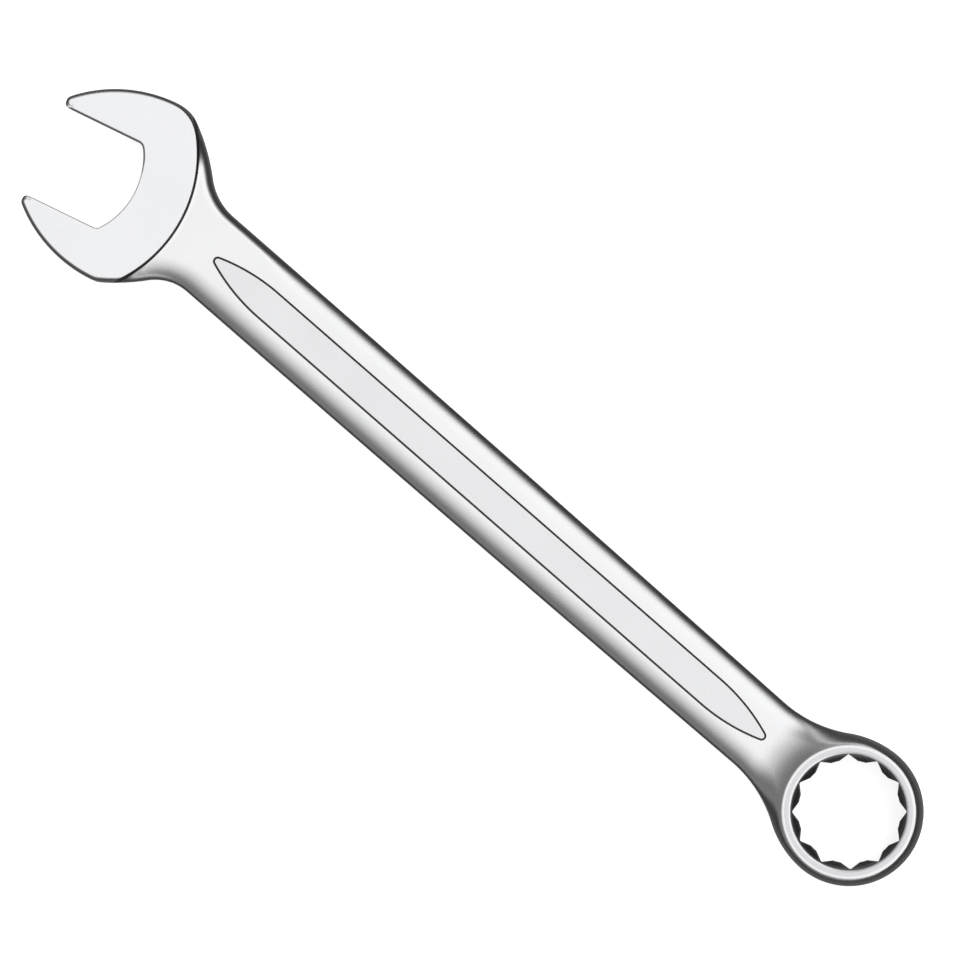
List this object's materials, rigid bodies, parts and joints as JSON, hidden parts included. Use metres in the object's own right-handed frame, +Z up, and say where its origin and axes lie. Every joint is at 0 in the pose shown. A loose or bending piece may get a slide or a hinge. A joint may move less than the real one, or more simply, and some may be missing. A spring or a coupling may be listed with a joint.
{
  "type": "combination wrench",
  "caption": "Flat combination wrench with an angled open jaw at one end, a tapering shank with sunk panels, and a twelve-point ring at the other end.",
  "frame": {"origin": "middle of the wrench's length and width, on the surface that the wrench lies on", "axes": "+X along the shank towards the ring, +Y across the shank towards the jaw's longer lip, +Z up through the thickness"},
  "size_m": [0.2252, 0.039, 0.0112],
  "materials": {
    "ground_face": "chrome plate over a flat ground face",
    "satin_chrome": "satin chrome plate over shot-blasted forged steel",
    "bright_chrome": "brighter chrome plate on the ring"
  },
  "bodies": {
    "root": {"open_end_head": "ground_face", "shank": "satin_chrome", "ring_head": "bright_chrome"}
  },
  "joints": []
}
